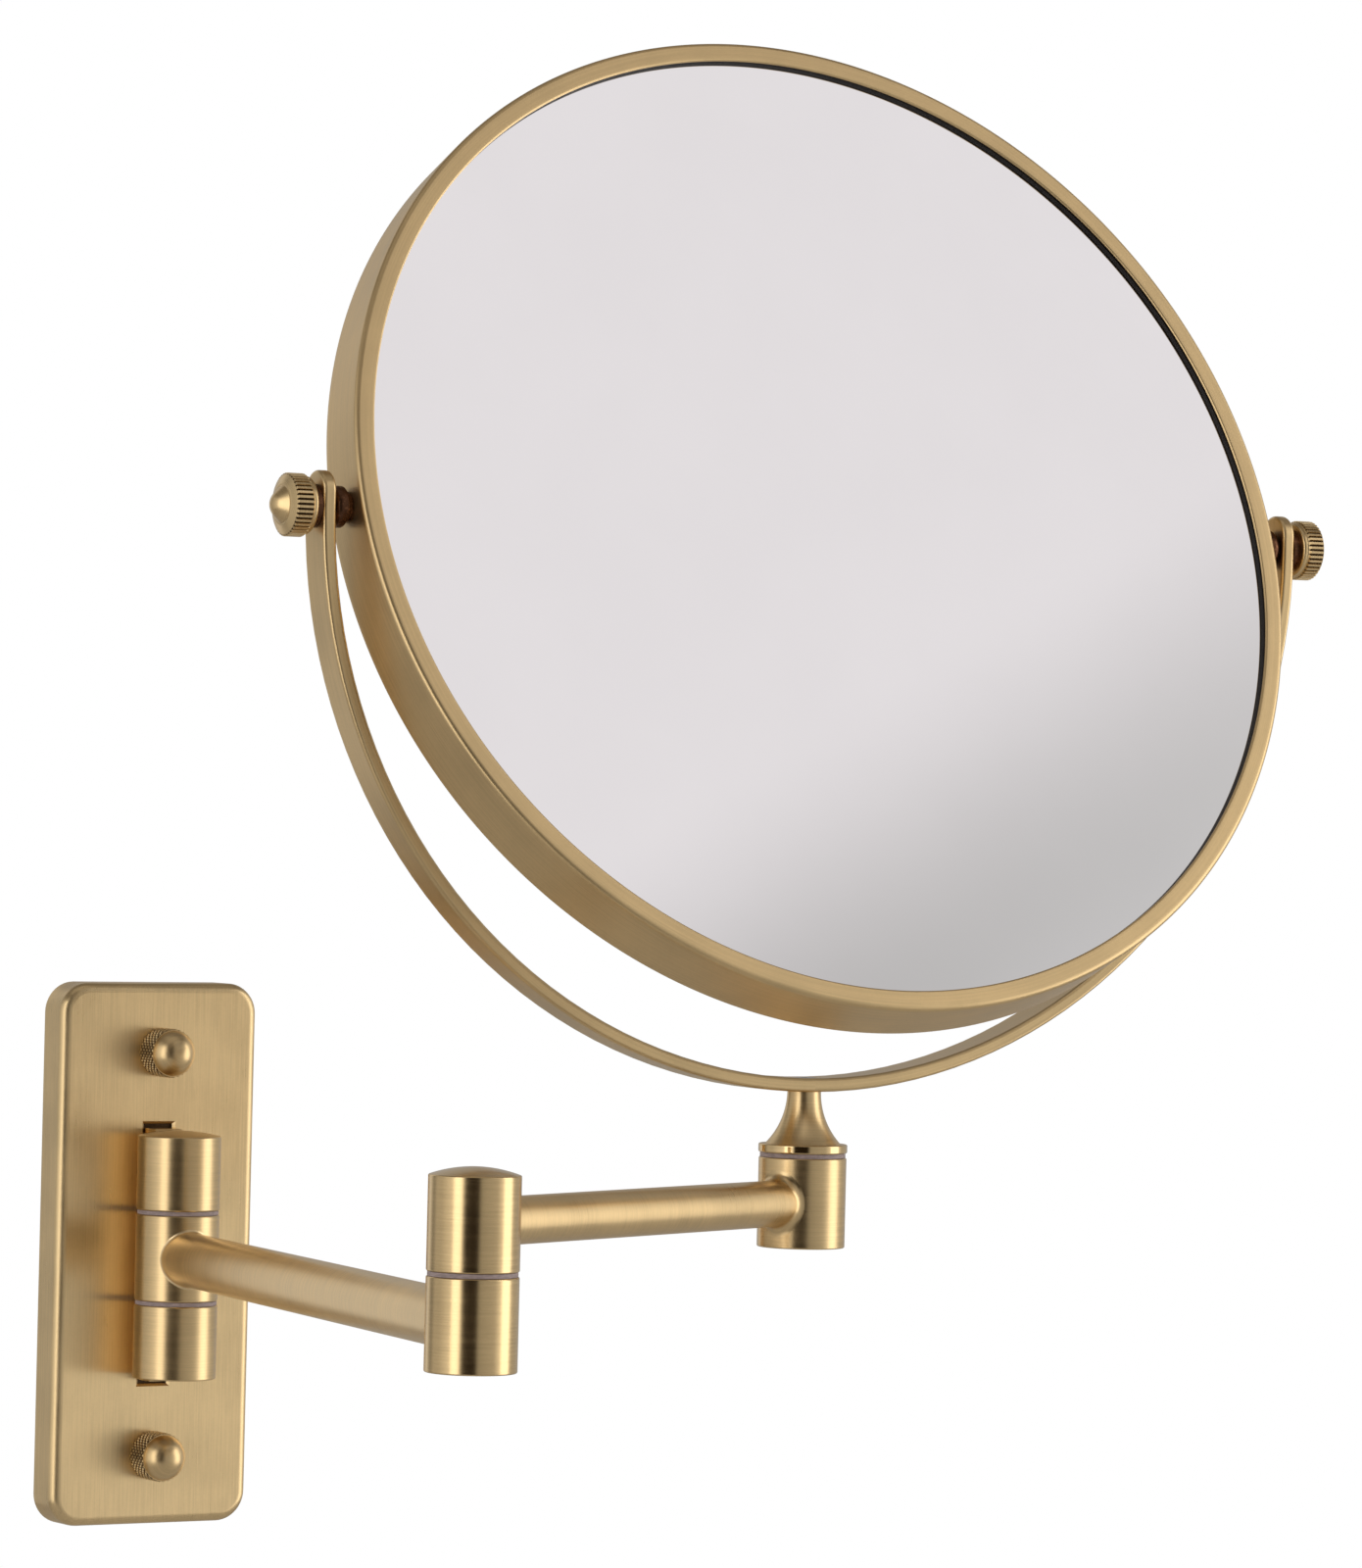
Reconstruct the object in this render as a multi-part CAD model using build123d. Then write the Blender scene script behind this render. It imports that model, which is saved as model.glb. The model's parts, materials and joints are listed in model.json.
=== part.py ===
from build123d import *
import math
import os

# Extendable makeup mirror on a double-jointed wall arm. Millimetres.
# Row frame: the wall is the plane y = 0, the object comes out towards -Y, +Z is up,
# and the origin is the centre of the wall plate's back face.
# Every angle about Z is counted from straight out of the wall (-Y) towards +X.

# Pose of the stored model
lower_arm_angle = -9.0
upper_arm_angle = 114.0
yoke_angle = -2.8
mirror_tilt = 21.8

# Clearances
running_play = 0.06
thread_play = 0.05
face_play = 0.05
side_play = 0.3
slot_play = 0.25
cut_margin = 1.0

# Wall plate and what holds it
plate_width = 50.0
plate_height = 124.0
plate_depth = 9.5
plate_wall = 1.2
plate_corner_radius = 7.0
plate_edge_radius = 2.2
strap_width = 24.0
strap_end_margin = 7.8
strap_thickness = 1.8
strap_corner_radius = 3.0
wall_screw_spacing = 60.0
wall_screw_hole_radius = 2.4
stud_inset = 15.8
stud_radius = 2.0
stud_chamfer = 0.5
stud_grip = 6.0

# Thumb nuts on the plate
nut_radius = 5.7
nut_band_length = 6.4
nut_chamfer = 0.35
nut_dome_radius = 5.2
nut_dome_height = 4.2
nut_bore_margin = 1.0

# Hinge barrels, common to all joints of the arm
barrel_radius = 9.525
barrel_edge = 0.35
shoulder_radius = 3.0
washer_thickness = 0.9
washer_inset = 0.25
screw_head_radius = 4.6
screw_head_height = 2.4
screw_thread_radius = 2.5
screw_socket_flats = 3.0
screw_socket_depth = 1.5
counterbore_depth = 4.0
counterbore_play = 0.4
spring_washer_thickness = 0.5
spring_washer_rise = 0.35

# Wall hinge
hinge_standoff = 10.5
knuckle_length = 19.6
hinge_barrel_length = 16.8
hinge_dome_rise = 1.2
hinge_thread_depth = 11.0
lug_width = 6.8
lug_height = 14.0
lug_overhang = 1.2
lug_reach = 4.0
lug_slot_headroom = 1.0
lug_slot_bevel = 0.6
back_plate_width = 30.0
back_plate_margin = 6.0
back_plate_thickness = 2.0
lug_screw_radius = 1.5
lug_screw_grip = 5.5
lug_screw_head_radius = 2.7
lug_screw_head_height = 1.4

# Arms
lower_arm_length = 190.0
lower_tube_radius = 6.15
upper_arm_length = 120.0
upper_tube_radius = 5.0
tube_wall = 1.2
lower_braze_radius = 0.7
upper_braze_radius = 0.8
saddle_radius = 2.2
elbow_barrel_length = 19.5
elbow_dome_rise = 1.7
end_barrel_length = 19.5

# Yoke
collar_radius = 9.65
collar_height = 1.9
collar_groove = 0.35
trumpet_foot_radius = 8.2
trumpet_neck_radius = 3.65
trumpet_height = 11.35
swivel_thread_radius = 2.0
swivel_thread_depth = 5.0
yoke_thickness = 3.0
yoke_width = 9.5
yoke_leg = 1.1
yoke_end_rise = 2.75
yoke_edge = 0.8
yoke_screw_radius = 1.5
yoke_screw_head_radius = 2.9
yoke_screw_grip = 4.0

# Mirror head
rim_radius = 113.5
rim_depth = 15.2
rim_wall = 1.0
rim_face_width = 4.5
rim_outer_round = 1.1
rim_inner_round = 0.45
rim_rear_round = 0.5
gasket_thickness = 0.6
glass_side_gap = 1.5
plain_glass_thickness = 2.0
magnifier_thickness = 2.0
magnifier_rise = 6.2
backing_thickness = 0.8
spacer_ring_width = 6.0
rear_sleeve_length = 3.5

# Mirror pivots
pivot_gap = 4.4
pivot_spacer_radius = 4.4
pivot_spacer_neck_radius = 3.3
pivot_spacer_neck_length = 1.2
pivot_spacer_shoulder = 1.6
pivot_head_radius = 3.4
pivot_head_thickness = 1.1
pivot_washer_radius = 4.6
pivot_washer_thickness = 1.7
knob_radius = 6.65
knob_shoulder_length = 1.2
knob_shoulder_radius = 6.1
knob_knurl_length = 4.0
knob_rib_count = 40
knob_rib_depth = 0.42
knob_rib_share = 0.56
knob_groove_share = 0.16
knob_bevel_radius = 4.35
knob_bevel_length = 0.7
knob_nose_radius = 4.0
knob_nose_length = 2.45
knob_tip_radius = 3.4
knob_bore_depth = 5.0
knob_bore_margin = 0.6

# Derived places
stud_spacing = plate_height - 2 * stud_inset
strap_height = stud_spacing + 2 * strap_end_margin
hinge_offset = plate_depth + hinge_standoff
joint_gap = washer_thickness + 2 * face_play
washer_radius = barrel_radius - washer_inset
washer_bore_radius = shoulder_radius + running_play
counterbore_radius = screw_head_radius + counterbore_play
upper_barrel_foot = knuckle_length / 2 + joint_gap
upper_barrel_head = upper_barrel_foot + hinge_barrel_length
elbow_foot = -elbow_barrel_length / 2
elbow_upper_foot = elbow_barrel_length / 2 + joint_gap
upper_arm_height = elbow_upper_foot + elbow_barrel_length / 2
end_barrel_head = upper_arm_height + end_barrel_length / 2
end_barrel_foot = upper_arm_height - end_barrel_length / 2
collar_foot = end_barrel_head + joint_gap
yoke_inner_radius = rim_radius + pivot_gap
yoke_outer_radius = yoke_inner_radius + yoke_thickness
yoke_bottom = collar_foot + collar_height + trumpet_height
pivot_height = yoke_bottom + yoke_outer_radius + yoke_leg
rim_half_depth = rim_depth / 2
rim_opening_radius = rim_radius - rim_face_width
glass_radius = rim_radius - rim_wall - glass_side_gap
glass_face = rim_half_depth - rim_wall - gasket_thickness
knob_foot = yoke_outer_radius + pivot_washer_thickness + 2 * face_play
pivot_stud_end = knob_foot + knob_bore_depth

# Frames that carry the pieces of each moving body
lower_arm_frame = Pos(0, -hinge_offset, 0) * Rot(0, 0, lower_arm_angle)
elbow_place = lower_arm_frame * Pos(0, -lower_arm_length, 0)
upper_arm_frame = Pos(*elbow_place.position) * Rot(0, 0, upper_arm_angle)
swivel_place = upper_arm_frame * Pos(0, -upper_arm_length, 0)
yoke_frame = Pos(*swivel_place.position) * Rot(0, 0, yoke_angle)
pivot_frame = yoke_frame * Pos(0, 0, pivot_height)
mirror_frame = pivot_frame * Rot(90 - mirror_tilt, 0, 0)
wall_hinge_frame = Pos(0, -hinge_offset, 0)
out_of_wall = Rot(90, 0, 0)

UPRIGHT = (Align.CENTER, Align.CENTER, Align.MIN)


def rod(radius, foot, head):
    """Cylinder about Z from height foot to height head."""
    return Pos(0, 0, foot) * Cylinder(radius, head - foot, align=UPRIGHT)


def ring(inner_radius, outer_radius, foot, head):
    """Tube about Z."""
    return rod(outer_radius, foot, head) - rod(inner_radius, foot, head)


def turned(*edges):
    """Solid of revolution about Z. The edges close an outline in (radius, height)."""
    outline = Plane.XZ * make_face(edges)
    return revolve(outline, Axis.Z)


def soften(solid, radius, *heights):
    """Rounds the outermost circular edges that lie at the given heights."""
    circles = solid.edges().filter_by(GeomType.CIRCLE)
    for height in heights:
        level = circles.filter_by(lambda e: abs(e.center().Z - height) < 1e-3)
        widest = level.sort_by(SortBy.RADIUS)[-1]
        solid = fillet(widest, radius)
        circles = solid.edges().filter_by(GeomType.CIRCLE)
    return solid


def plain_barrel(foot, head):
    """Round barrel about Z with softly broken edges."""
    return soften(rod(barrel_radius, foot, head), barrel_edge, foot, head)


def domed_barrel(foot, head, rise):
    """Round barrel whose head is a shallow dome."""
    body = turned(
        Line((0, foot), (barrel_radius, foot)),
        Line((barrel_radius, foot), (barrel_radius, head)),
        dome_arc(barrel_radius, head, rise),
        Line((0, head + rise), (0, foot)),
    )
    return soften(body, barrel_edge, foot, head)


def dome_arc(radius, height, rise):
    """Arc of a spherical cap, from its rim at radius to its crown on the axis."""
    sphere = (radius**2 + rise**2) / (2 * rise)
    half = math.asin(radius / sphere) / 2
    middle = (sphere * math.sin(half), height + rise - sphere * (1 - math.cos(half)))
    return ThreePointArc((radius, height), middle, (0, height + rise))


def socket(flats, foot, depth):
    """Hexagonal key socket that opens downwards at height foot."""
    hexagon = RegularPolygon(flats / 2, 6, major_radius=False)
    return extrude(Pos(0, 0, foot) * hexagon, depth)


def shoulder_screw(head_foot, shoulder_head, thread_radius, thread_length):
    """Screw put in from below: socket head, ground shoulder, then the thread."""
    screw = rod(screw_head_radius, head_foot, head_foot + screw_head_height)
    screw = soften(screw, barrel_edge, head_foot)
    screw += rod(shoulder_radius, head_foot, shoulder_head)
    screw += rod(thread_radius, head_foot, shoulder_head + thread_length)
    return screw - socket(screw_socket_flats, head_foot, screw_socket_depth)


def counterbored(barrel, foot, head, bore_radius):
    """Barrel with a shoulder bore right through and a seat for the head below."""
    barrel -= rod(bore_radius, foot, head)
    return barrel - rod(counterbore_radius, foot, foot + counterbore_depth)


def screw_head_foot(foot):
    """Height of a screw head's underside in the counterbore of a barrel."""
    seat = foot + counterbore_depth - spring_washer_thickness - spring_washer_rise
    return seat - screw_head_height


def spring_washer(foot):
    """Coned washer between a screw head and the counterbore of a barrel at foot."""
    low = screw_head_foot(foot) + screw_head_height
    inner = shoulder_radius + side_play
    outer = screw_head_radius
    high = low + spring_washer_rise
    return turned(
        *Polyline(
            (inner, high),
            (outer, low),
            (outer, low + spring_washer_thickness),
            (inner, high + spring_washer_thickness),
            (inner, high),
        ).edges()
    )


def nylon_washer(gap_foot):
    """Flat washer in the gap that starts at height gap_foot."""
    foot = gap_foot + face_play
    return ring(washer_bore_radius, washer_radius, foot, foot + washer_thickness)


def rounded_block(width, height, radius, back, front):
    """Upright plate with rounded corners between two distances from the wall."""
    outline = RectangleRounded(width, height, radius)
    return out_of_wall * extrude(Pos(0, 0, back) * outline, front - back)


# Wall plate


def lug_box(sign, margin, headroom, back, front):
    """Block of the lug, or of its slot with a margin round it."""
    head = upper_barrel_head + lug_overhang + headroom
    foot = upper_barrel_head + lug_overhang - lug_height - margin
    block = Box(lug_width + 2 * margin, front - back, head - foot)
    return Pos(0, -(back + front) / 2, sign * (head + foot) / 2) * block


def stud_places():
    """Centres of the two studs, above and below the hinge."""
    return [Pos(0, 0, sign * stud_spacing / 2) for sign in (1, -1)]


def lug_screw_places():
    """Centres of the two lug screws, on the wall plane."""
    height = upper_barrel_head + lug_overhang - lug_height / 2
    return [Pos(0, 0, sign * height) for sign in (1, -1)]


def make_cover_plate():
    """Pressed shell, open at the back, with stud holes and lug slots."""
    shell = rounded_block(plate_width, plate_height, plate_corner_radius, 0, plate_depth)
    shell = fillet(shell.faces().sort_by(Axis.Y)[0].edges(), plate_edge_radius)
    inside = rounded_block(
        plate_width - 2 * plate_wall,
        plate_height - 2 * plate_wall,
        plate_corner_radius - plate_wall,
        0,
        plate_depth - plate_wall,
    )
    inner_round = plate_edge_radius - plate_wall
    inside = fillet(inside.faces().sort_by(Axis.Y)[0].edges(), inner_round)
    shell -= inside
    for place in stud_places():
        shell -= place * out_of_wall * rod(stud_radius + slot_play, 0, plate_depth)
    for sign in (1, -1):
        shell -= lug_box(sign, slot_play, lug_slot_headroom, 0, plate_depth + cut_margin)
    return chamfer(slot_mouths(shell), lug_slot_bevel)


def slot_mouths(shell):
    """Front edges of both lug slots."""
    reach = upper_barrel_head + lug_overhang + lug_slot_headroom + cut_margin
    straight = shell.edges().filter_by(GeomType.LINE)
    in_front = straight.filter_by(lambda e: abs(e.center().Y + plate_depth) < 1e-3)
    return in_front.filter_by(lambda e: abs(e.center().X) < lug_width and abs(e.center().Z) < reach)


def make_mounting_strap():
    """Flat strap screwed to the wall; the studs stand in it."""
    strap = rounded_block(strap_width, strap_height, strap_corner_radius, 0, strap_thickness)
    for place in stud_places():
        strap -= place * out_of_wall * rod(stud_radius + thread_play, 0, strap_thickness)
    for sign in (1, -1):
        hole = rod(wall_screw_hole_radius, 0, strap_thickness)
        strap -= Pos(0, 0, sign * wall_screw_spacing / 2) * out_of_wall * hole
    return strap


def make_stud():
    """Threaded stud from the strap out into its thumb nut."""
    stud = rod(stud_radius, 0, plate_depth + stud_grip)
    head = stud.edges().filter_by(GeomType.CIRCLE).sort_by(Axis.Z)[-1]
    return out_of_wall * chamfer(head, stud_chamfer)


def make_thumb_nut():
    """Knurled band with a smooth dome, bored blind for the stud."""
    foot = plate_depth + face_play
    shoulder = foot + nut_band_length
    band = rod(nut_radius, foot, shoulder)
    band = chamfer(band.edges().filter_by(GeomType.CIRCLE), nut_chamfer)
    dome = turned(
        Line((0, shoulder - nut_chamfer), (nut_dome_radius, shoulder - nut_chamfer)),
        Line((nut_dome_radius, shoulder - nut_chamfer), (nut_dome_radius, shoulder)),
        dome_arc(nut_dome_radius, shoulder, nut_dome_height),
        Line((0, shoulder + nut_dome_height), (0, shoulder - nut_chamfer)),
    )
    bore = rod(stud_radius + thread_play, foot, plate_depth + stud_grip + nut_bore_margin)
    return out_of_wall * (band + dome - bore)


# Wall hinge


def make_hinge_barrel(sign):
    """Fixed barrel of the wall hinge with its lug; sign is 1 above, -1 below."""
    if sign > 0:
        barrel = domed_barrel(upper_barrel_foot, upper_barrel_head, hinge_dome_rise)
        cut = rod(
            screw_thread_radius + thread_play,
            upper_barrel_foot,
            upper_barrel_foot + hinge_thread_depth + cut_margin,
        )
    else:
        barrel = plain_barrel(-upper_barrel_head, -upper_barrel_foot)
        cut = rod(shoulder_radius + running_play, -upper_barrel_head, 0)
        cut += rod(
            counterbore_radius,
            -upper_barrel_head,
            -upper_barrel_head + counterbore_depth,
        )
    lug_end = hinge_offset - barrel_radius + lug_reach
    lug = lug_box(sign, 0, 0, plate_depth - plate_wall, lug_end)
    solid = wall_hinge_frame * barrel + lug - wall_hinge_frame * cut
    grip_end = plate_depth - plate_wall + lug_screw_grip
    for place in lug_screw_places():
        hole = rod(lug_screw_radius + thread_play, 0, grip_end + cut_margin)
        solid -= place * out_of_wall * hole
    return solid


def make_hinge_back_plate():
    """Plate inside the cover that the two lugs are screwed to."""
    front = plate_depth - plate_wall
    height = 2 * (upper_barrel_head + lug_overhang + back_plate_margin)
    back = front - back_plate_thickness
    plate = rounded_block(back_plate_width, height, strap_corner_radius, back, front)
    for place in lug_screw_places():
        hole = rod(lug_screw_radius + thread_play, 0, plate_depth)
        plate -= place * out_of_wall * hole
    return plate


def make_lug_screws():
    """Two pan-head screws through the back plate into the lugs."""
    seat = plate_depth - plate_wall - back_plate_thickness
    screws = []
    for place in lug_screw_places():
        screw = rod(lug_screw_head_radius, seat - lug_screw_head_height, seat)
        screw += rod(lug_screw_radius, seat, seat + back_plate_thickness + lug_screw_grip)
        screws.append(place * out_of_wall * screw)
    return Compound(children=screws)


# Arms


def arm_tube(length, tube_radius, height, near_braze, far_braze):
    """Tube between two barrels, coped to both and filleted where it is brazed."""
    run = Pos(0, 0, height) * Rot(90, 0, 0) * rod(tube_radius, 0, length)
    near_post = rod(barrel_radius, height - 2 * tube_radius, height + 2 * tube_radius)
    far_post = Pos(0, -length, 0) * near_post
    joined = run + near_post + far_post
    for braze_radius, middle in ((near_braze, -barrel_radius), (far_braze, barrel_radius - length)):
        curved = joined.edges().filter_by(GeomType.BSPLINE)
        seam = curved.filter_by(lambda e: abs(e.center().Y - middle) < barrel_radius / 2)
        joined = fillet(seam, braze_radius)
    bore = Pos(0, 0, height) * Rot(90, 0, 0) * rod(tube_radius - tube_wall, 0, length)
    return joined - near_post - far_post - bore


def make_wall_knuckle():
    """Middle barrel of the wall hinge, which turns on the shoulder screw."""
    barrel = plain_barrel(-knuckle_length / 2, knuckle_length / 2)
    return barrel - rod(shoulder_radius + running_play, -knuckle_length, knuckle_length)


def make_elbow_lower_barrel():
    """Barrel at the lower arm's end, counterbored for the elbow screw."""
    barrel = plain_barrel(elbow_foot, -elbow_foot)
    return counterbored(barrel, elbow_foot, -elbow_foot, shoulder_radius + running_play)


def make_elbow_upper_barrel():
    """Domed barrel that starts the upper arm, tapped from below."""
    head = elbow_upper_foot + elbow_barrel_length
    barrel = domed_barrel(elbow_upper_foot, head, elbow_dome_rise)
    thread_end = elbow_upper_foot + hinge_thread_depth + cut_margin
    return barrel - rod(screw_thread_radius + thread_play, elbow_upper_foot, thread_end)


def make_end_barrel():
    """Barrel under the yoke's stem, counterbored for the swivel screw."""
    barrel = plain_barrel(end_barrel_foot, end_barrel_head)
    bore = shoulder_radius + running_play
    return counterbored(barrel, end_barrel_foot, end_barrel_head, bore)


# Yoke


def make_yoke_stem():
    """Collar and concave trumpet in one turned piece, tapped at both ends."""
    ledge = collar_foot + collar_height
    neck = ledge + trumpet_height
    fall = trumpet_foot_radius - trumpet_neck_radius
    sweep_radius = (trumpet_height**2 + fall**2) / (2 * fall)
    half = math.asin(trumpet_height / sweep_radius) / 2
    middle = (
        trumpet_neck_radius + sweep_radius * (1 - math.cos(half)),
        neck - sweep_radius * math.sin(half),
    )
    stem = turned(
        Line((0, collar_foot), (collar_radius, collar_foot)),
        Line((collar_radius, collar_foot), (collar_radius, ledge)),
        Line((collar_radius, ledge), (trumpet_foot_radius, ledge)),
        ThreePointArc((trumpet_foot_radius, ledge), middle, (trumpet_neck_radius, neck)),
        Line((trumpet_neck_radius, neck), (0, neck)),
        Line((0, neck), (0, collar_foot)),
    )
    stem = soften(stem, collar_groove, collar_foot, ledge)
    thread_end = collar_foot + swivel_thread_depth + cut_margin
    stem -= rod(swivel_thread_radius + thread_play, collar_foot, thread_end)
    screw_end = neck - yoke_screw_grip - cut_margin
    stem -= rod(yoke_screw_radius + thread_play, screw_end, neck)
    strip_bed = Pos(0, 0, pivot_height - yoke_leg) * Rot(90, 0, 0)
    return stem - strip_bed * rod(yoke_outer_radius, -collar_radius, collar_radius)


def make_yoke_strip():
    """Flat strip bent to a half ring, with straight legs that end round above the pivot."""
    top = yoke_end_rise + yoke_width / 2
    reach = yoke_outer_radius + yoke_leg + cut_margin
    outline = Circle(yoke_outer_radius) - Circle(yoke_inner_radius)
    outline -= Pos(0, reach / 2) * Rectangle(2 * reach, reach)
    middle = (yoke_inner_radius + yoke_outer_radius) / 2
    leg = top + yoke_leg
    for sign in (1, -1):
        outline += Pos(sign * middle, leg / 2) * Rectangle(yoke_thickness, leg)
    strip = extrude(Plane.XZ * Pos(0, -yoke_leg) * outline, yoke_width / 2, both=True)
    side = Pos(0, (yoke_end_rise - reach) / 2) * Rectangle(yoke_width, yoke_end_rise + reach)
    side += Pos(0, yoke_end_rise) * Circle(yoke_width / 2)
    strip = strip & extrude(Plane.YZ * side, reach, both=True)
    strip = fillet(strip.edges() - strip.edges().filter_by(Axis.Y), yoke_edge)
    hole = Rot(0, 90, 0) * rod(stud_radius + running_play, -reach, reach)
    strip -= hole
    face = -yoke_inner_radius - yoke_leg
    strip -= Pos(0, 0, face) * Rot(180, 0, 0) * screw_cone(thread_play)
    strip -= rod(yoke_screw_radius + thread_play, -reach, face)
    return Pos(0, 0, pivot_height) * strip


def screw_cone(play):
    """Countersunk head pointing along +Z from its flat face, grown by a play."""
    depth = yoke_screw_head_radius - yoke_screw_radius
    return Pos(0, 0, -cut_margin) * Cone(
        yoke_screw_head_radius + cut_margin + play,
        yoke_screw_radius + play,
        depth + cut_margin,
        align=UPRIGHT,
    )


def make_yoke_screw():
    """Countersunk screw down through the strip into the stem."""
    face = yoke_bottom + yoke_thickness
    sag = yoke_inner_radius - math.sqrt(yoke_inner_radius**2 - yoke_screw_head_radius**2)
    depth = yoke_screw_head_radius - yoke_screw_radius
    stem_end = yoke_bottom - yoke_screw_grip
    head = Pos(0, 0, face - depth) * Cone(
        yoke_screw_radius, yoke_screw_head_radius - sag, depth - sag, align=UPRIGHT
    )
    screw = head + rod(yoke_screw_radius, stem_end, face - depth)
    key = RegularPolygon(yoke_screw_radius / 2, 6, major_radius=False)
    return screw - extrude(Pos(0, 0, face - depth / 2) * key, depth)


# Mirror head. These pieces are made about Z, with the front of the mirror at +Z.


def make_front_rim():
    """Spun rim: deep side wall and a flat front ring."""
    front = rim_half_depth
    rim = turned(
        *Polyline(
            (rim_radius, -front),
            (rim_radius, front),
            (rim_opening_radius, front),
            (rim_opening_radius, front - rim_wall),
            (rim_radius - rim_wall, front - rim_wall),
            (rim_radius - rim_wall, -front),
            (rim_radius, -front),
        ).edges()
    )
    rim = soften(rim, rim_outer_round, front)
    rim = soften(rim, rim_rear_round, -front)
    circles = rim.edges().filter_by(GeomType.CIRCLE)
    face_edges = circles.filter_by(lambda e: abs(e.center().Z - front) < 1e-3)
    rim = fillet(face_edges.sort_by(SortBy.RADIUS)[0], rim_inner_round)
    return rim - pivot_hole()


def pivot_hole():
    """Hole for both pivot studs, across the whole rim."""
    reach = rim_radius + cut_margin
    return Rot(0, 90, 0) * rod(stud_radius + thread_play, -reach, reach)


def make_rear_rim():
    """Ring pressed into the back of the side wall, with a sleeve."""
    back = -rim_half_depth
    outer = rim_radius - rim_wall - thread_play
    ring_solid = turned(
        *Polyline(
            (outer, back),
            (outer, back + rear_sleeve_length),
            (outer - rim_wall, back + rear_sleeve_length),
            (outer - rim_wall, back + rim_wall),
            (rim_opening_radius, back + rim_wall),
            (rim_opening_radius, back),
            (outer, back),
        ).edges()
    )
    circles = ring_solid.edges().filter_by(GeomType.CIRCLE)
    face_edges = circles.filter_by(lambda e: abs(e.center().Z - back) < 1e-3)
    return fillet(face_edges.sort_by(SortBy.RADIUS)[0], rim_inner_round)


def gasket_ring(foot):
    """Black rubber ring between a rim and its glass."""
    return ring(rim_opening_radius, glass_radius, foot, foot + gasket_thickness)


def make_plain_glass():
    """Flat mirror at the front."""
    return rod(glass_radius, glass_face - plain_glass_thickness, glass_face)


def make_magnifying_glass():
    """Concave mirror at the back: a dished glass of even thickness."""
    hollow = dome_arc(glass_radius, -glass_face, magnifier_rise)
    edge = -glass_face + magnifier_thickness
    crown = magnifier_rise - glass_face
    return turned(
        hollow,
        Line((0, crown), (0, crown + magnifier_thickness)),
        dome_arc(glass_radius, edge, magnifier_rise),
        Line((glass_radius, edge), (glass_radius, -glass_face)),
    )


def make_backing_disc():
    """Card disc behind the plain glass."""
    head = glass_face - plain_glass_thickness
    return rod(glass_radius, head - backing_thickness, head)


def make_spacer_ring():
    """Ring that holds the two glasses apart; its foot follows the dished glass."""
    head = glass_face - plain_glass_thickness - backing_thickness
    inner = glass_radius - spacer_ring_width
    band = ring(inner, glass_radius, magnifier_thickness - glass_face, head)
    return band - make_magnifying_glass()


# Pivots. Made about Z as the outward pivot axis, then laid along +X or -X.


def make_pivot_stud():
    """Threaded stud with a flat head inside the side wall."""
    seat = math.sqrt((rim_radius - rim_wall) ** 2 - pivot_head_radius**2) - thread_play
    stud = rod(pivot_head_radius, seat - pivot_head_thickness, seat)
    stud += rod(stud_radius, seat, pivot_stud_end)
    tip = stud.edges().filter_by(GeomType.CIRCLE).sort_by(Axis.Z)[-1]
    return chamfer(tip, stud_chamfer)


def make_pivot_spacer():
    """Spacer between the rim and the yoke: a short neck, then a rounded bead."""
    foot = rim_radius
    bead = foot + pivot_spacer_neck_length
    head = yoke_inner_radius - side_play
    spacer = ring(stud_radius + thread_play, pivot_spacer_neck_radius, foot, head)
    spacer += ring(stud_radius + thread_play, pivot_spacer_radius, bead, head)
    return soften(soften(spacer, barrel_edge, bead), pivot_spacer_shoulder, head)


def make_pivot_washer():
    """Washer between the yoke and the knob."""
    foot = yoke_outer_radius + face_play
    bore = stud_radius + running_play
    return ring(bore, pivot_washer_radius, foot, foot + pivot_washer_thickness)


def make_knob():
    """Knob with a plain shoulder, a straight knurl, a bevel and a coned nose."""
    knurl_foot = knob_foot + knob_shoulder_length
    knurl_head = knurl_foot + knob_knurl_length
    bevel_head = knurl_head + knob_bevel_length
    tip = bevel_head + knob_nose_length
    knurl = extrude(Pos(0, 0, knurl_foot) * knurl_outline(), knob_knurl_length)
    root = knob_radius - knob_rib_depth
    knurl &= turned(
        *Polyline(
            (0, knurl_foot),
            (root, knurl_foot),
            (knob_radius, knurl_foot + knob_rib_depth),
            (knob_radius, knurl_head - knob_rib_depth),
            (root, knurl_head),
            (0, knurl_head),
            (0, knurl_foot),
        ).edges()
    )
    shoulder = rod(knob_shoulder_radius, knob_foot, knurl_foot + knob_rib_depth)
    shoulder = soften(shoulder, knob_shoulder_length / 2, knob_foot)
    centre = tip - knob_tip_radius
    start = math.atan2(bevel_head - centre, knob_nose_radius)
    slope = start + math.acos(knob_tip_radius * math.cos(start) / knob_nose_radius)
    touch, middle = (
        (knob_tip_radius * math.cos(lean), centre + knob_tip_radius * math.sin(lean))
        for lean in (slope, (math.pi / 2 + slope) / 2)
    )
    nose = turned(
        Line((0, knurl_head), (root, knurl_head)),
        Line((root, knurl_head), (knob_bevel_radius, bevel_head)),
        Line((knob_bevel_radius, bevel_head), (knob_nose_radius, bevel_head)),
        Line((knob_nose_radius, bevel_head), touch),
        ThreePointArc(touch, middle, (0, tip)),
        Line((0, tip), (0, knurl_head)),
    )
    bore_head = pivot_stud_end + knob_bore_margin
    return knurl + shoulder + nose - rod(stud_radius + thread_play, knob_foot, bore_head)


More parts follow.
